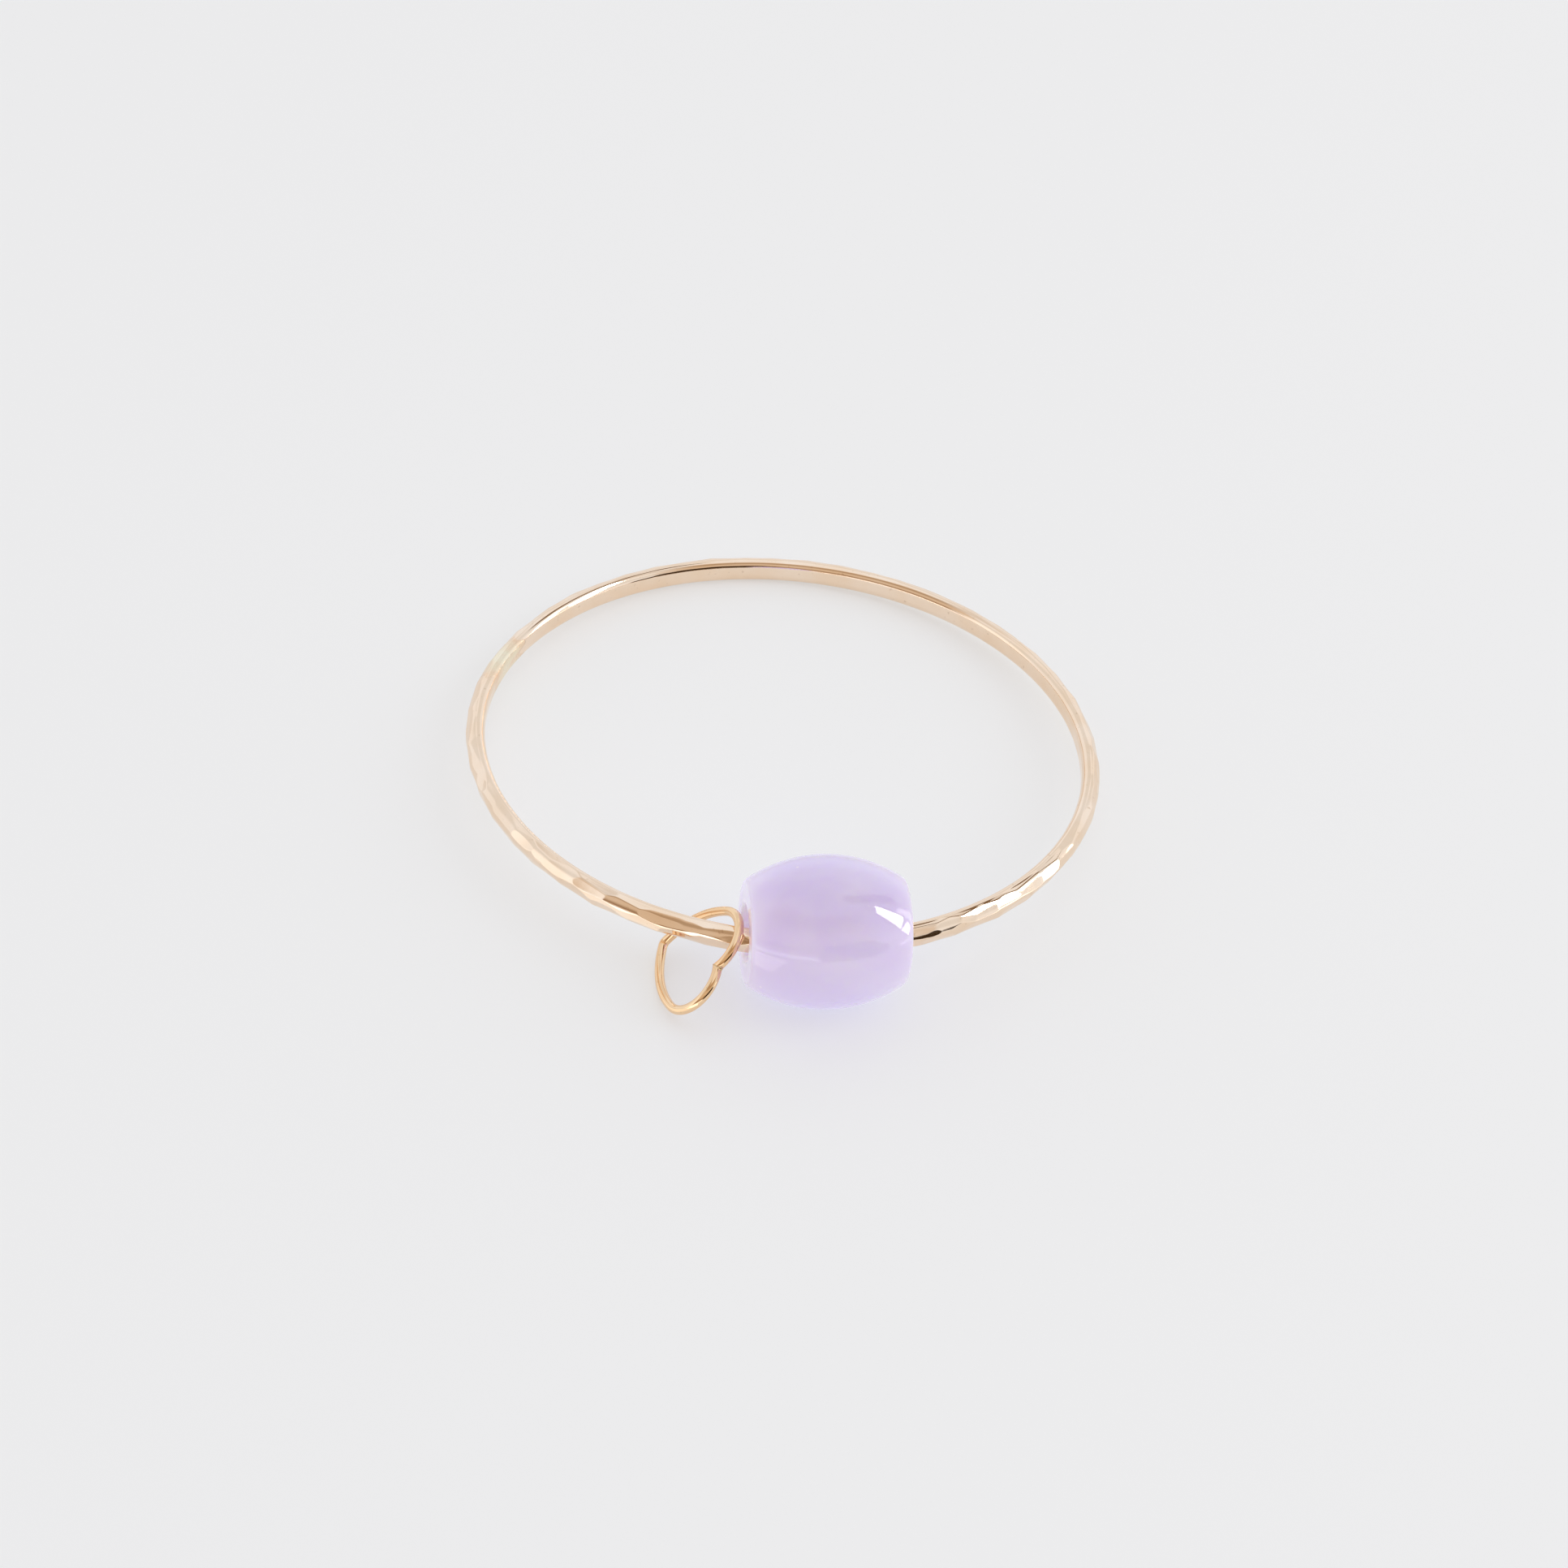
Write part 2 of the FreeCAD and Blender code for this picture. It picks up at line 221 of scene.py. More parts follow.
def hammered_ring_radius():
    """Distance from the wire's middle to the hammered surface, all round the ring and all round the wire."""
    bearings = np.linspace(0, 2 * math.pi, RING_STEPS, endpoint=False)
    facings = section_facings()
    plain = np.repeat(oval_radius(facings)[None, :], RING_STEPS, 0)
    broad = struck(bearings, facings, hammer_marks(), plain, BROAD_EDGE)
    fine = struck(bearings, facings, small_blows(bearings, facings, broad), broad, FINE_EDGE)
    # Many soft edges together lower the whole surface a little, so the smooth inside is brought back out.
    inward = np.clip(-np.cos(facings) * 3, 0, 1)[None, :]
    fine = fine * (1 - inward) + plain * inward
    wave_height, wave_seed, worn = 0.006, 5, 0.010
    uneven = waves(bearings, facings, wave_height, wave_seed) - worn
    fine += np.clip(-np.cos(facings), 0, 1)[None, :] * uneven
    return bearings, facings, fine


def waves(bearings, facings, height, seed):
    """Gentle unevenness of hand-worked wire, as a few slow waves along and around it."""
    chance = random.Random(seed)
    made = np.zeros((len(bearings), len(facings)))
    for _ in range(9):
        along, around = chance.randint(9, 64), chance.randint(0, 2)
        made += np.sin(along * bearings[:, None] + around * facings[None, :] + chance.uniform(0, 6.3))
    return height * made / 3.0


def wire_points(bearings, facings, radius):
    """Points of the wire's surface, in the ring's own frame, in mm."""
    b, f = bearings[:, None], facings[None, :]
    out = ring_radius + radius * np.cos(f)
    return np.stack([out * np.cos(b), out * np.sin(b), radius * np.sin(f)], -1).reshape(-1, 3)


def wire_uv(bearings, facings):
    b, f = np.meshgrid(bearings * ring_radius, facings, indexing="ij")
    return np.stack([b, f], -1).reshape(-1, 2)


def make_ring():
    ring = mesh_object("hammered_bangle_ring", wire_points(*ring_surface),
                       grid_faces(RING_STEPS, len(ring_surface[1]), True, True), ring_matrix)
    add_uv(ring, wire_uv(ring_surface[0], ring_surface[1]))
    return ring


PATCH_HALF = math.radians(8.0)
PATCH_SHIFT = math.radians(2.6)
PATCH_EDGE = 0.86
PATCH_SOFTNESS = 0.25
PATCH_THINNEST = 0.004
PATCH_FILLS = 0.5
PATCH_THICKEST = 0.05
PATCH_SUNK = 0.08
PATCH_INSIDE = 0.30


def make_patch():
    """Solder flooded over the ring's butt joint: a thin skin that dips into the wire at a ragged edge."""
    seam_low, seam_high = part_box("ring_solder_seam")
    seam = ring_matrix.inverted() @ ((seam_low + seam_high) / 2)
    middle = math.atan2(seam.y, seam.x) + PATCH_SHIFT
    bearings, facings, ring = ring_surface
    apart = (bearings - middle + math.pi) % (2 * math.pi) - math.pi
    near = np.nonzero(np.abs(apart) < PATCH_HALF)[0]
    bearings, ring = bearings[near], ring[near]
    chance = random.Random(3)
    edge = np.zeros((2, len(facings)))
    for _ in range(6):
        turns = chance.randint(1, 5)
        for side in range(2):
            edge[side] += chance.uniform(0.02, 0.06) * np.sin(turns * facings + chance.uniform(0, 6.3))
    share = ((bearings - middle) / PATCH_HALF)[:, None]
    inside = np.minimum(PATCH_EDGE + edge[0][None, :] - share, PATCH_EDGE + edge[1][None, :] + share)
    rise = 1 - np.exp(-np.clip(inside, 0, None) / PATCH_SOFTNESS)
    # The solder fills the hammer marks part of the way.
    oval = oval_radius(facings)[None, :]
    filled = rise * np.minimum(PATCH_FILLS * np.clip(oval - ring, 0, None), PATCH_THICKEST)
    skin = np.where(inside > 0, ring + PATCH_THINNEST + filled, ring - PATCH_SUNK)
    outer = wire_points(bearings, facings, skin)
    inner = wire_points(bearings, facings, ring - PATCH_INSIDE)
    rows, columns = len(bearings), len(facings)
    count = rows * columns
    faces = grid_faces(rows, columns, False, True)
    faces += [tuple(reversed(f)) for f in grid_faces(rows, columns, False, True, count)]
    for j in range(columns):
        j2 = (j + 1) % columns
        last = (rows - 1) * columns
        faces.append((j, j2, count + j2, count + j))
        faces.append((last + j2, last + j, count + last + j, count + last + j2))
    patch = mesh_object("solder_patch", np.concatenate([outer, inner]), faces, ring_matrix)
    uv = wire_uv(bearings, facings)
    add_uv(patch, np.concatenate([uv, uv]))
    fade = np.clip(inside / 0.7, 0, 1).ravel()
    add_number(patch, "flooded", np.concatenate([fade, fade]))
    return patch


ring_surface = hammered_ring_radius()


# ---------------------------------------------------------------- bead
BEAD_END_RADIUS, BEAD_BORE_RADIUS = 5.3, 2.9
BEAD_RIM, BEAD_BORE_RIM = 0.8, 0.3
BEAD_TURNS = 256
BEAD_UNEVEN = 0.010
BEAD_FACE_RADIUS, BEAD_FACE_FADE = 4.6, 1.5
BEAD_PALE_RADIUS, BEAD_PALE_FADE = 3.6, 0.6


def bead_profile(half_long, middle_radius):
    """Outline of the barrel's section, from the bore's middle round the outside and back, as (along, out)."""
    rim, bore_rim = BEAD_RIM, BEAD_BORE_RIM
    bulge = middle_radius - BEAD_END_RADIUS
    big = (half_long ** 2 + bulge ** 2) / (2 * bulge)
    # The rim's arc touches the flat end and the bulging side.
    rim_along = half_long - rim
    rim_out = math.sqrt((big - rim) ** 2 - rim_along ** 2) - (big - middle_radius)
    tangent = math.atan2(rim_out + big - middle_radius, rim_along)
    side = []
    side_steps, rim_steps, face_steps, bore_rim_steps, bore_steps = 60, 12, 10, 8, 12
    for k in range(side_steps + 1):
        a = math.pi / 2 + (tangent - math.pi / 2) * k / side_steps
        side.append((big * math.cos(a), big * math.sin(a) - (big - middle_radius)))
    for k in range(1, rim_steps + 1):
        a = tangent * (1 - k / rim_steps)
        side.append((rim_along + rim * math.cos(a), rim_out + rim * math.sin(a)))
    face_end = BEAD_BORE_RADIUS + bore_rim
    for k in range(1, face_steps + 1):
        side.append((half_long, rim_out + (face_end - rim_out) * k / face_steps))
    for k in range(1, bore_rim_steps + 1):
        a = k / bore_rim_steps * math.pi / 2
        side.append((half_long - bore_rim * (1 - math.cos(a)), face_end - bore_rim * math.sin(a)))
    for k in range(1, bore_steps + 1):
        side.append(((half_long - bore_rim) * (1 - k / bore_steps), BEAD_BORE_RADIUS))
    left = [(-x, r) for x, r in reversed(side[1:-1])]
    return side + left


def make_bead():
    low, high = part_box("barrel_bead")
    centre = (low + high) / 2
    half_long = (high.x - low.x) / 2 / MM
    middle_radius = (high.z - low.z) / 2 / MM
    outline = np.array(bead_profile(half_long, middle_radius))
    angles = np.linspace(0, 2 * math.pi, BEAD_TURNS, endpoint=False)
    along = np.repeat(outline[None, :, 0], BEAD_TURNS, 0)
    out = np.repeat(outline[None, :, 1], BEAD_TURNS, 0)
    # A hand-polished side is a few hundredths of a millimetre uneven.
    chance = random.Random(21)
    uneven = np.zeros_like(out)
    for _ in range(7):
        around, length = chance.randint(1, 5), chance.uniform(0.1, 0.7)
        uneven += np.sin(around * angles[:, None] + length * along + chance.uniform(0, 6.3))
    outside = np.clip((out - BEAD_FACE_RADIUS) / BEAD_FACE_FADE, 0, 1)
    out = out - BEAD_UNEVEN * outside * (1 + uneven / 3)
    points = np.stack([along, out * np.cos(angles)[:, None], out * np.sin(angles)[:, None]], -1)
    faces = [tuple(reversed(f)) for f in grid_faces(BEAD_TURNS, len(outline), True, True)]
    bead = mesh_object("lavender_barrel_bead", points.reshape(-1, 3), faces, Matrix.Translation(centre))
    # Painted light: 1 in the bore and 0 a little way out over the flat end; there the wall is painted paler.
    add_number(bead, "bore_painted_light", np.clip((BEAD_PALE_RADIUS - out) / BEAD_PALE_FADE, 0, 1).ravel())
    return bead


# ---------------------------------------------------------------- heart
HEART = {"lobe_round": 3.5, "lobe_out": 2.12, "point_drop": 7.62, "side_round": 9.95, "point_round": 0.7}
HEART_WIRE_RADIUS = 0.5
HEART_WIRE_SIDES = 36
HEART_MITRE_GAP = 0.14
HEART_STEP = 0.11
HEART_TURNS = (-130.52, 36.08, 35.03)
PAST_CLEFT = 0.35


def heart_centreline():
    """Right half of the heart's centreline, from the point to just past the cleft, and outward directions."""
    lobe = np.array([HEART["lobe_out"], 0.0])
    point = np.array([0.0, HEART["point_round"] - HEART["point_drop"]])
    to_lobe = HEART["side_round"] - HEART["lobe_round"]
    to_point = HEART["side_round"] - HEART["point_round"]
    between = lobe - point
    length = float(np.hypot(*between))
    along = (to_point ** 2 - to_lobe ** 2 + length ** 2) / (2 * length)
    across = math.sqrt(to_point ** 2 - along ** 2)
    unit = between / length
    side = point + unit * along + np.array([-unit[1], unit[0]]) * across
    lobe_turn = math.atan2(-side[1], lobe[0] - side[0])
    point_turn = math.atan2(point[1] - side[1], -side[0])
    cleft_turn = math.pi - math.acos(HEART["lobe_out"] / HEART["lobe_round"])
    arcs = [(point, HEART["point_round"], -math.pi / 2, point_turn),
            (side, HEART["side_round"], point_turn, lobe_turn),
            (lobe, HEART["lobe_round"], lobe_turn, cleft_turn + PAST_CLEFT)]
    places, outward = [], []
    for number, (middle, radius, start, end) in enumerate(arcs):
        steps = max(8, round(radius * (end - start) / HEART_STEP))
        for k in range(0 if number == 0 else 1, steps + 1):
            a = start + (end - start) * k / steps
            direction = np.array([math.cos(a), math.sin(a)])
            places.append(middle + radius * direction)
            outward.append(direction)
    return np.array(places), np.array(outward)


def make_heart():
    places, outward = heart_centreline()
    angles = np.linspace(0, 2 * math.pi, HEART_WIRE_SIDES, endpoint=False)
    steps = np.arange(len(places))
    # The bent wire is a hundredth of a millimetre thinner here and there.
    thin = 1 - 0.010 * (1 + np.sin(steps * 0.17)) - 0.006 * (1 + np.sin(steps * 0.071 + 1.0))
    points = []
    for place, direction, size in zip(places, outward, thin):
        radius = HEART_WIRE_RADIUS * size
        for a in angles:
            flat = place + direction * radius * math.cos(a)
            points.append((flat[0], flat[1], radius * math.sin(a)))
    half = bmesh.new()
    made = [half.verts.new(p) for p in points]
    for face in grid_faces(len(places), HEART_WIRE_SIDES, False, True):
        half.faces.new([made[i] for i in face])
    # The lobe's end is cut off at the mitre and closed. The end at the point stays open on the centre line.
    gap = HEART_MITRE_GAP / 2
    lobe_part = [f for f in half.faces if f.calc_center_median().y > 0]
    geometry = set(lobe_part)
    for f in lobe_part:
        geometry.update(f.edges)
        geometry.update(f.verts)
    bmesh.ops.bisect_plane(half, geom=list(geometry), plane_co=(gap, 0, 0), plane_no=(1, 0, 0),
                           clear_inner=True, dist=1e-6)
    cut_edges = [e for e in half.edges if e.is_boundary and all(v.co.y > 0 for v in e.verts)]
    bmesh.ops.contextual_create(half, geom=cut_edges)
    # The left half is the right half mirrored, and the two are joined at the point.
    mirrored = bmesh.ops.duplicate(half, geom=half.verts[:] + half.edges[:] + half.faces[:])["geom"]
    for v in mirrored:
        if isinstance(v, bmesh.types.BMVert):
            v.co.x = -v.co.x
    bmesh.ops.reverse_faces(half, faces=[f for f in mirrored if isinstance(f, bmesh.types.BMFace)])
    at_point = [v for v in half.verts if abs(v.co.x) < 1e-4 and v.co.y < 0]
    bmesh.ops.remove_doubles(half, verts=at_point, dist=1e-4)
    bmesh.ops.recalc_face_normals(half, faces=half.faces[:])
    for v in half.verts:
        v.co *= MM
    half.transform(heart_matrix())
    mesh = bpy.data.meshes.new("wire_heart")
    half.to_mesh(mesh)
    half.free()
    heart = bpy.data.objects.new("wire_heart", mesh)
    bpy.context.scene.collection.objects.link(heart)
    for polygon in mesh.polygons:
        polygon.use_smooth = len(polygon.vertices) <= 4
    return heart


def heart_matrix():
    """Where the heart lies: turned by yaw, pitch and roll, with its middle at the middle of its CAD box."""
    yaw, pitch, roll = (math.radians(a) for a in HEART_TURNS)
    turn = Matrix.Rotation(yaw, 4, "Z") @ Matrix.Rotation(pitch, 4, "Y") @ Matrix.Rotation(roll, 4, "X")
    places = heart_centreline()[0]
    places = places[places[:, 0] >= 0]
    both = np.concatenate([places, places * [-1, 1]])
    spots = np.array([turn @ Vector((x, y, 0)) for x, y in both])
    low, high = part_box("heart_wire")
    middle = (Vector(spots.min(0)) + Vector(spots.max(0))) / 2 * MM
    matrix = turn.copy()
    matrix.translation = (low + high) / 2 - middle
    return matrix


# ---------------------------------------------------------------- material helpers
class Nodes:
    """Short ways to add and join the nodes of one material."""

    def __init__(self, name):
        self.material = bpy.data.materials.new(name)
        self.material.use_nodes = True
        self.tree = self.material.node_tree
        self.shader = self.tree.nodes["Principled BSDF"]

    def add(self, kind, **settings):
        node = self.tree.nodes.new(kind)
        for key, value in settings.items():
            setattr(node, key, value)
        return node

    def join(self, a, b):
        self.tree.links.new(a, b)

    def fixed(self, **values):
        """Sets plain values on the shader's own sockets."""
        for key, value in values.items():
            self.shader.inputs[key.replace("_", " ")].default_value = value

    def noise(self, vector, scale, detail=2.0, roughness=0.5, distortion=0.0):
        node = self.add("ShaderNodeTexNoise")
        node.inputs["Scale"].default_value = scale
        node.inputs["Detail"].default_value = detail
        node.inputs["Roughness"].default_value = roughness
        node.inputs["Distortion"].default_value = distortion
        self.join(vector, node.inputs["Vector"])
        return node.outputs["Fac"]

    def remap(self, value, low, high, to_low, to_high):
        node = self.add("ShaderNodeMapRange", clamp=True)
        for key, number in (("From Min", low), ("From Max", high), ("To Min", to_low), ("To Max", to_high)):
            node.inputs[key].default_value = number
        self.join(value, node.inputs["Value"])
        return node.outputs["Result"]

    def blend(self, factor, first, second):
        """Mixes two colours, each a plain colour or a socket."""
        node = self.add("ShaderNodeMix", data_type="RGBA")
        self.join(factor, node.inputs[0])
        for socket, colour in ((node.inputs[6], first), (node.inputs[7], second)):
            if isinstance(colour, tuple):
                socket.default_value = (*colour, 1.0)
            else:
                self.join(colour, socket)
        return node.outputs[2]

    def stretched(self, vector, scale):
        node = self.add("ShaderNodeMapping")
        node.inputs["Scale"].default_value = scale
        self.join(vector, node.inputs["Vector"])
        return node.outputs["Vector"]

    def bump(self, height, strength, distance, under=None):
        node = self.add("ShaderNodeBump")
        node.inputs["Strength"].default_value = strength
        node.inputs["Distance"].default_value = distance
        self.join(height, node.inputs["Height"])
        if under is not None:
            self.join(under, node.inputs["Normal"])
        return node.outputs["Normal"]

    def object_place(self):
        return self.add("ShaderNodeTexCoord").outputs["Object"]


def gold_material(name, warm, pale, deep, rough_low, rough_high, scratches, uneven):
    """Polished gold with slow colour drift, uneven polish, faint tarnish specks and fine drawn lines."""
    n = Nodes(name)
    place = n.object_place()
    drift = n.remap(n.noise(place, 160.0, 3.0, 0.55), 0.35, 0.65, 0.0, 1.0)
    colour = n.blend(drift, warm, pale)
    specks = n.remap(n.noise(place, 1500.0, 2.0, 0.6), 0.66, 0.80, 0.0, 0.55)
    n.join(n.blend(specks, colour, deep), n.shader.inputs["Base Color"])
    polish = n.noise(place, 900.0, 4.0, 0.6)
    n.join(n.remap(polish, 0.3, 0.7, rough_low, rough_high), n.shader.inputs["Roughness"])
    if scratches:
        lines = n.noise(n.stretched(n.add("ShaderNodeUVMap", uv_map="along_and_around").outputs["UV"],
                                    scratches), 1.0, 3.0, 0.6)
    else:
        lines = n.noise(n.stretched(place, (900.0, 2600.0, 2600.0)), 1.0, 3.0, 0.6)
    planished = n.noise(place, 1300.0, 2.0, 0.5)
    fine = n.bump(lines, 0.08, 0.00001)
    n.join(n.bump(planished, uneven, 0.00003, fine), n.shader.inputs["Normal"])
    n.fixed(Metallic=1.0)
    return n


# ---------------------------------------------------------------- materials
ring_gold = gold_material("hammered_gold", (0.91, 0.705, 0.52), (0.94, 0.77, 0.615), (0.62, 0.42, 0.27),
                          0.035, 0.10, (0.5, 9.0, 1.0), 0.10)
heart_gold = gold_material("polished_gold", (0.885, 0.59, 0.335), (0.94, 0.69, 0.44), (0.52, 0.31, 0.15),
                           0.015, 0.035, None, 0.03)
heart_solder = gold_material("heart_solder", (0.66, 0.47, 0.27), (0.76, 0.58, 0.36), (0.40, 0.25, 0.13),
                             0.14, 0.26, None, 0.10)


def patch_material():
    """The ring's gold at the edge and a paler greener solder gold inside."""
    n = Nodes("ring_solder")
    place = n.object_place()
    ragged = n.noise(place, 700.0, 4.0, 0.65)
    flooded = n.add("ShaderNodeAttribute", attribute_name="flooded").outputs["Fac"]
    shift = n.add("ShaderNodeMath", operation="ADD")
    n.join(flooded, shift.inputs[0])
    n.join(n.remap(ragged, 0.3, 0.7, -0.30, 0.30), shift.inputs[1])
    inside = n.remap(shift.outputs[0], 0.05, 0.95, 0.0, 1.0)
    solder = n.blend(n.noise(place, 420.0, 3.0, 0.6), (0.87, 0.75, 0.53), (0.92, 0.84, 0.68))
    n.join(n.blend(inside, (0.90, 0.67, 0.48), solder), n.shader.inputs["Base Color"])
    n.join(n.remap(ragged, 0.3, 0.7, 0.14, 0.30), n.shader.inputs["Roughness"])
    n.join(n.bump(ragged, 0.25, 0.00006), n.shader.inputs["Normal"])
    n.fixed(Metallic=1.0)
    return n


def bead_material():
    """Cloudy lavender stone: light goes into it, swirls and bands drift through it, and it is polished. As
    painted light, its bore wall is paler and it glows a little.
    """
    n = Nodes("lavender_bead")
    place = n.object_place()
    swirl = n.noise(n.stretched(place, (60.0, 95.0, 95.0)), 1.0, 3.0, 0.5, 0.9)
    bands = n.noise(n.stretched(place, (26.0, 170.0, 170.0)), 1.0, 2.0, 0.45, 0.6)
    cloud = n.blend(n.remap(swirl, 0.32, 0.68, 0.0, 1.0), (0.69, 0.61, 0.945), (0.75, 0.69, 0.965))
    cloud = n.blend(n.remap(bands, 0.50, 0.72, 0.0, 0.40), cloud, (0.84, 0.79, 0.97))
    spots = n.add("ShaderNodeTexVoronoi")
    spots.inputs["Scale"].default_value = 620.0
    n.join(place, spots.inputs["Vector"])
    inclusion = n.remap(spots.outputs["Distance"], 0.05, 0.12, 0.55, 0.0)
    sparse = n.remap(n.noise(place, 240.0, 1.0), 0.60, 0.66, 0.0, 1.0)
    both = n.add("ShaderNodeMath", operation="MULTIPLY")
    n.join(inclusion, both.inputs[0])
    n.join(sparse, both.inputs[1])
    marked = n.blend(both.outputs[0], cloud, (0.90, 0.86, 0.96))
    # Painted light: the bore's wall is painted paler, standing in for light that comes through the stone into
    # the bore, so it looks as pale as the outside.
    bore = n.add("ShaderNodeAttribute", attribute_name="bore_painted_light").outputs["Fac"]
    n.join(n.blend(bore, marked, (0.90, 0.83, 0.97)), n.shader.inputs["Base Color"])
    polish = n.noise(place, 500.0, 3.0, 0.5)
    n.join(n.remap(polish, 0.3, 0.7, 0.03, 0.06), n.shader.inputs["Roughness"])
    n.join(n.bump(n.noise(place, 190.0, 2.0, 0.5), 0.05, 0.0002), n.shader.inputs["Normal"])
    n.fixed(IOR=1.54, Subsurface_Weight=1.0, Subsurface_Scale=0.006, Coat_Weight=0.35, Coat_Roughness=0.02)
    n.shader.inputs["Subsurface Radius"].default_value = (1.0, 0.8, 1.25)
    # Painted light: the stone glows lavender, most of all below its crown, standing in for light that went
    # into the stone on the window's side and leaves it lower down.
    height = n.add("ShaderNodeSeparateXYZ")
    n.join(place, height.inputs[0])
    n.join(n.remap(height.outputs["Z"], 0.0118, 0.0152, 0.125, 0.01), n.shader.inputs["Emission Strength"])
    n.shader.inputs["Emission Color"].default_value = (0.60, 0.57, 1.00, 1.0)
    return n


def dress(piece, nodes, body, slot, *replaced):
    piece.data.materials.clear()
    piece.data.materials.append(nodes.material)
    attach(piece, body)
    if replaced:
        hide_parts(*replaced)


# ---------------------------------------------------------------- pieces
dress(make_ring(), ring_gold, "ring", "hammered_gold", "bangle_ring")
dress(make_patch(), patch_material(), "ring", "ring_solder", "ring_solder_seam")
dress(make_bead(), bead_material(), "bead", "lavender_bead", "barrel_bead")
dress(make_heart(), heart_gold, "heart", "polished_gold", "heart_wire")
solder = frame["nodes"]["heart_solder_joint"]
solder.data.materials.clear()
solder.data.materials.append(heart_solder.material)


# ---------------------------------------------------------------- studio
def make_floor():
    half = 1500.0
    corners = [(-half, -half, 0), (half, -half, 0), (half, half, 0), (-half, half, 0)]
    floor = mesh_object("studio_floor", corners, [(0, 1, 2, 3)], smooth=False)
    n = Nodes("pale_floor")
    n.shader.inputs["Base Color"].default_value = (0.52, 0.525, 0.53, 1.0)
    n.shader.inputs["Emission Color"].default_value = (0.98, 1.0, 1.02, 1.0)
    n.fixed(Emission_Strength=0.415, Roughness=0.75, Specular_IOR_Level=0.0)
    floor.data.materials.append(n.material)


def direction(azimuth, elevation):
    """Unit direction: azimuth 0 is +X and 90 is +Y, in degrees."""
    a, e = math.radians(azimuth), math.radians(elevation)
    return Vector((math.cos(a) * math.cos(e), math.sin(a) * math.cos(e), math.sin(e)))


def make_world():
    """A pale room: bands of light and warm shade at the front, and a plainer pale back."""
    world = bpy.data.worlds.new("studio")
    bpy.context.scene.world = world
    world.use_nodes = True
    tree = world.node_tree
    towards = tree.nodes.new("ShaderNodeTexCoord").outputs["Generated"]
    split = tree.nodes.new("ShaderNodeSeparateXYZ")
    tree.links.new(towards, split.inputs[0])

    def bands(stops):
        """Colours by height, each stop an elevation in degrees and a colour."""
        ramp = tree.nodes.new("ShaderNodeValToRGB")
        ramp.color_ramp.interpolation = "EASE"
        elements = ramp.color_ramp.elements
        while len(elements) < len(stops):
            elements.new(0.5)
        for element, (elevation, colour) in zip(elements, stops):
            element.position = max(0.0, math.sin(math.radians(elevation)))
            element.color = (*colour, 1.0)
        tree.links.new(split.outputs["Z"], ramp.inputs["Fac"])
        return ramp.outputs["Color"]

    def step(value, low, high, to_low, to_high):
        """A soft step from one value to another."""
        node = tree.nodes.new("ShaderNodeMapRange")
        node.interpolation_type = "SMOOTHSTEP"
        for key, number in (("From Min", low), ("From Max", high), ("To Min", to_low), ("To Max", to_high)):
            node.inputs[key].default_value = number
        tree.links.new(value, node.inputs["Value"])
        return node.outputs["Result"]

    def zone(azimuth, elevation, inner, outer):
        """1 inside a round zone and 0 outside it, with a soft edge."""
        dot = tree.nodes.new("ShaderNodeVectorMath")
        dot.operation = "DOT_PRODUCT"
        tree.links.new(towards, dot.inputs[0])
        dot.inputs[1].default_value = direction(azimuth, elevation)
        low, high = math.cos(math.radians(outer)), math.cos(math.radians(inner))
        return step(dot.outputs["Value"], low, high, 0.0, 1.0)

    def product(first, second):
        node = tree.nodes.new("ShaderNodeMath")
        node.operation = "MULTIPLY"
        tree.links.new(first, node.inputs[0])
        tree.links.new(second, node.inputs[1])
        return node.outputs[0]

    def mix(factor, first, second):
        node = tree.nodes.new("ShaderNodeMix")
        node.data_type = "RGBA"
        tree.links.new(factor, node.inputs[0])
        tree.links.new(first, node.inputs[6])
        if isinstance(second, tuple):
            node.inputs[7].default_value = (*second, 1.0)
        else:
            tree.links.new(second, node.inputs[7])
        return node.outputs[2]

    pale, white = (0.95, 0.985, 1.04), (1.02, 1.05, 1.10)
    light_grey, warm_grey = (0.82, 0.84, 0.87), (0.76, 0.74, 0.73)
    sand, tan, brown, dark = (0.72, 0.60, 0.48), (0.70, 0.57, 0.45), (0.48, 0.36, 0.25), (0.32, 0.20, 0.12)
    front = bands([(0, white), (5, white), (9, tan), (15, dark), (20, brown), (27, tan), (34, sand),
                   (42, tan), (50, brown), (58, brown), (64, tan), (69, pale), (90, pale)])
    back = bands([(0, pale), (17, pale), (27, light_grey), (36, light_grey), (46, pale), (57, warm_grey),
                  (66, pale), (90, pale)])
    colour = mix(zone(-110, 32, 44, 63), back, front)
    # Bright low on the left.
    colour = mix(zone(-178, 12, 6, 22), colour, (1.15, 1.17, 1.20))
    # A low dark thing in front and an upright one to the right draw brown strokes on the polished gold.
    low_brown, upright_brown = (0.05, 0.03, 0.015), (0.22, 0.14, 0.08)
    for azimuth, elevation, reach in ((-80, 9, 13), (-68, 11, 13), (-57, 11, 12), (-44, 8, 5)):
        colour = mix(zone(azimuth, elevation, reach, reach + 3), colour, low_brown)
    for azimuth, elevation in ((12, 68), (15, 60), (18, 53), (20, 46), (21, 39)):
        colour = mix(zone(azimuth, elevation, 4, 8), colour, upright_brown)
    background = tree.nodes["Background"]
    tree.links.new(colour, background.inputs["Color"])
    # The room is brightest low down in front, where it meets the floor.
    rise = step(split.outputs["Z"], 0.0, 0.02, 0.0, 1.0)
    fall = step(split.outputs["Z"], 0.06, 0.12, 1.0, 0.0)
    in_front = product(product(rise, fall), zone(-125, 5, 28, 46))
    glow = tree.nodes.new("ShaderNodeMath")
    glow.operation = "MULTIPLY_ADD"
    glow.inputs[1].default_value = 0.8
    glow.inputs[2].default_value = 1.0
    tree.links.new(in_front, glow.inputs[0])
    tree.links.new(glow.outputs[0], background.inputs["Strength"])


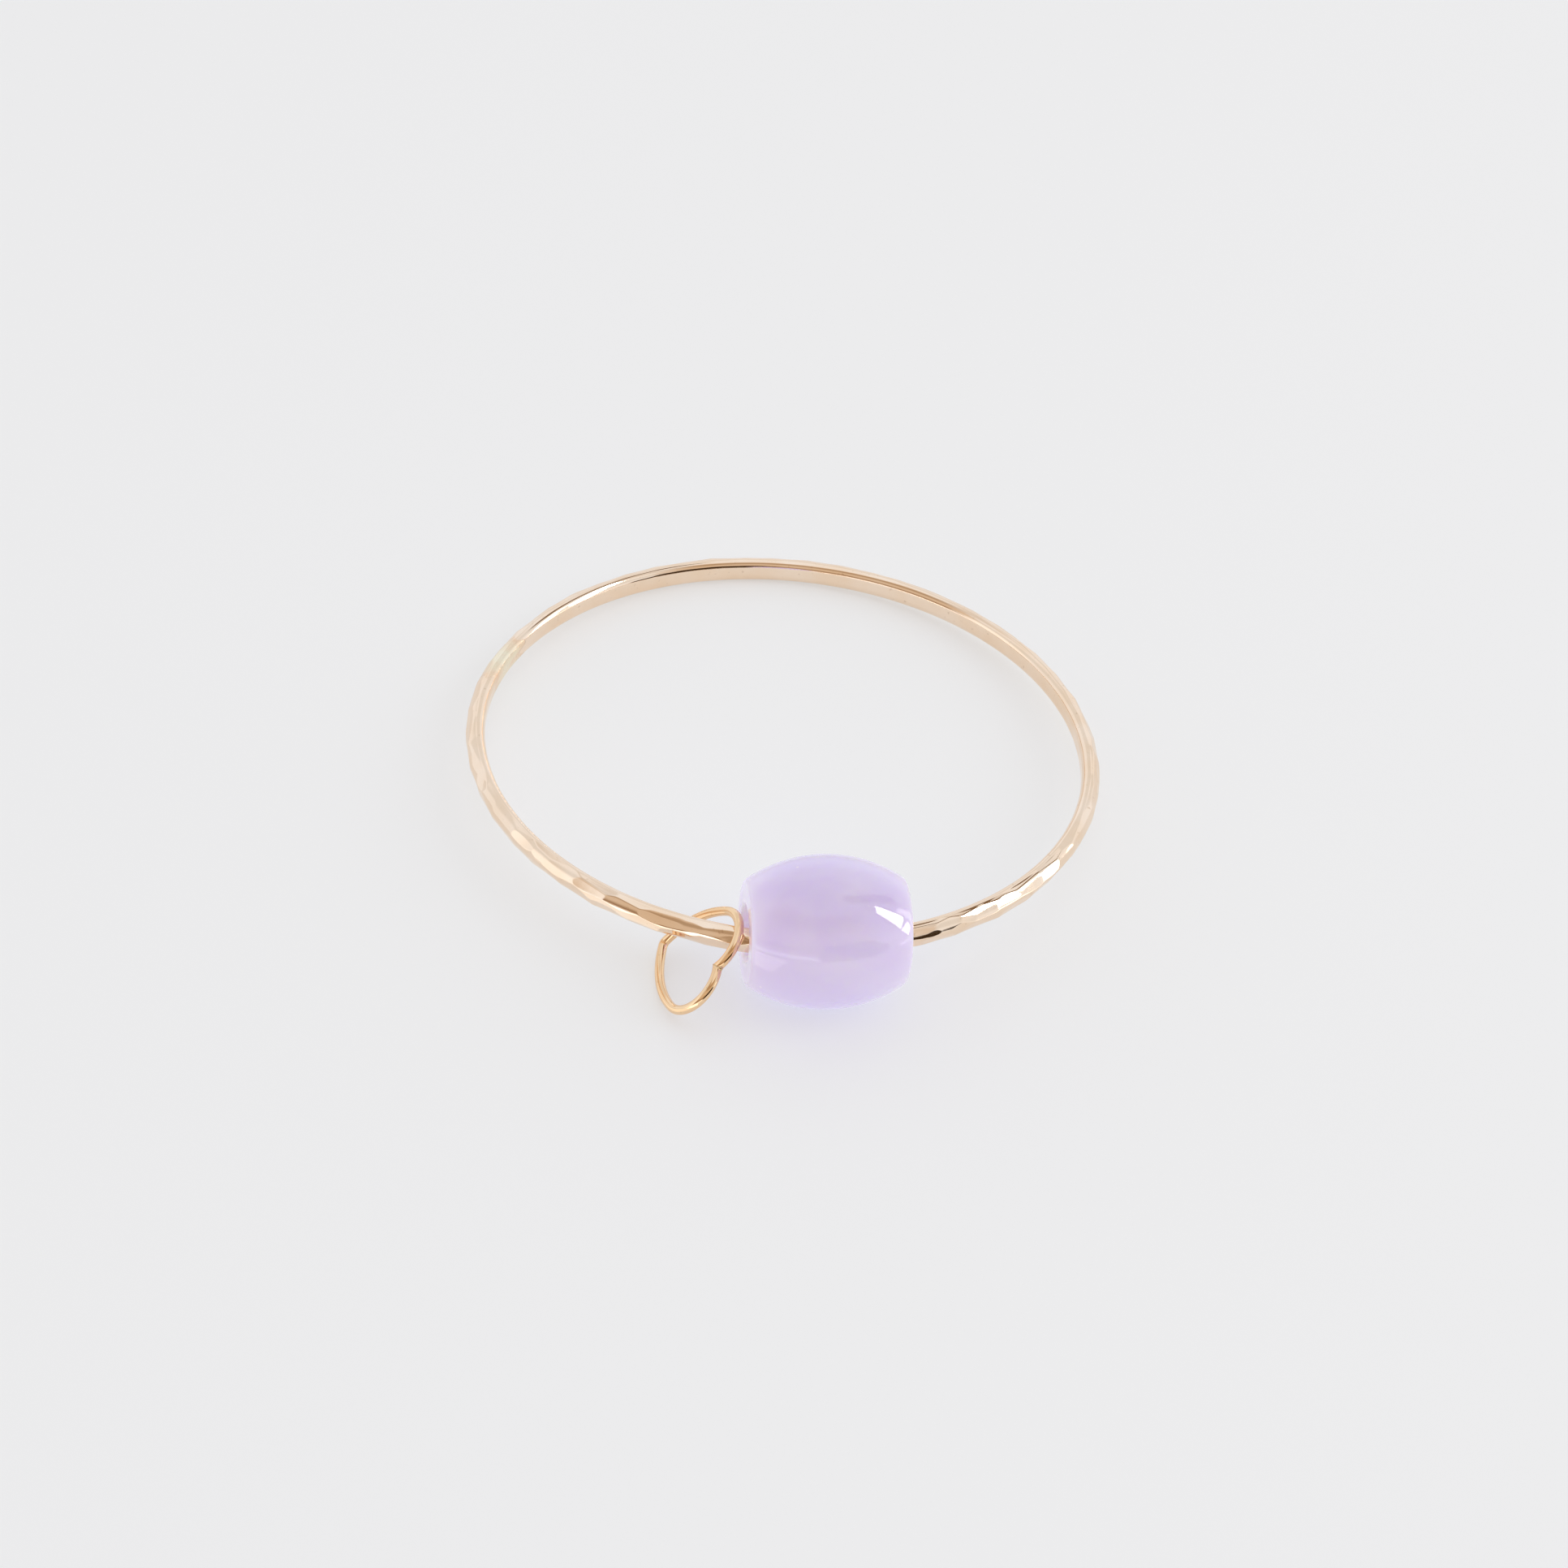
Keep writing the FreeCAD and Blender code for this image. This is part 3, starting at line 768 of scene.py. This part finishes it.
def window_pane(name, corners, glow):
    """A glowing pane a metre away, given by its corners' directions."""
    distance = 1000.0
    points = [direction(azimuth, elevation) * distance for azimuth, elevation in corners]
    glowing(name, [tuple(p) for p in points], glow)


def glowing(name, points, glow):
    """A glowing four-cornered area that only polished things show."""
    pane = mesh_object(name, points, [(0, 1, 2, 3)], smooth=False)
    n = Nodes(name + "_glow")
    n.shader.inputs["Base Color"].default_value = (0.0, 0.0, 0.0, 1.0)
    n.shader.inputs["Emission Color"].default_value = (1.0, 0.985, 0.965, 1.0)
    n.shader.inputs["Emission Strength"].default_value = glow
    pane.data.materials.append(n.material)
    pane.visible_camera = False
    pane.visible_shadow = False
    pane.visible_diffuse = False


def make_soft_light():
    """A weak, broad light from the window's side."""
    data = bpy.data.lights.new("soft_light", "AREA")
    data.shape = "SQUARE"
    data.size = 0.6
    data.energy = 0.7
    light = bpy.data.objects.new("soft_light", data)
    bpy.context.scene.collection.objects.link(light)
    towards, distance = direction(-12, 42), 0.8
    light.location = towards * distance
    light.rotation_mode = "QUATERNION"
    light.rotation_quaternion = towards.to_track_quat("Z", "Y")
    light.visible_camera = False
    light.visible_glossy = False


def make_camera():
    """The camera looks down at the bangle from the front, a little from the left and rolled slightly."""
    azimuth, elevation, roll = -11.72, 42.47, 7.38
    distance = 0.43296
    aim = Vector((0.0002, 0.0013, 0.0))
    lens, sensor = 93.17, 36.0
    a, e = math.radians(azimuth), math.radians(elevation)
    back = Vector((math.sin(a) * math.cos(e), -math.cos(a) * math.cos(e), math.sin(e)))
    data = bpy.data.cameras.new("camera")
    data.lens = lens
    data.sensor_width = sensor
    data.clip_start = 0.01
    camera = bpy.data.objects.new("camera", data)
    bpy.context.scene.collection.objects.link(camera)
    camera.location = aim + back * distance
    camera.rotation_mode = "QUATERNION"
    straight = (-back).to_track_quat("-Z", "Y")
    camera.rotation_quaternion = straight @ Matrix.Rotation(math.radians(roll), 3, "Z").to_quaternion()
    bpy.context.scene.camera = camera


make_floor()
make_world()
window_pane("window_upper", [(-19, 20), (-3, 26), (-1, 52), (-16, 47)], 12.0)
window_pane("window_lower", [(-18, 9), (-9, 14), (-6, 21), (-19, 18)], 10.0)
window_pane("sunlit_sill", [(-30, 0.5), (10, 0.5), (10, 4), (-30, 4)], 2.2)
window_pane("window_jamb", [(-3, 4), (10, 4), (9, 32), (0, 34)], 3.0)
# Sunlit floor on the left and in front, seen only in polished things.
glowing("sunlit_floor", [(-90, -75, 0.1), (-18, -50, 0.1), (-18, -24, 0.1), (-90, -12, 0.1)], 1.0)
glowing("sunlit_floor_front", [(-14, -45, 0.2), (-60, -45, 0.2), (-220, -160, 0.2), (-60, -160, 0.2)], 1.8)
make_soft_light()
make_camera()
bpy.context.scene.view_settings.view_transform = "Standard"
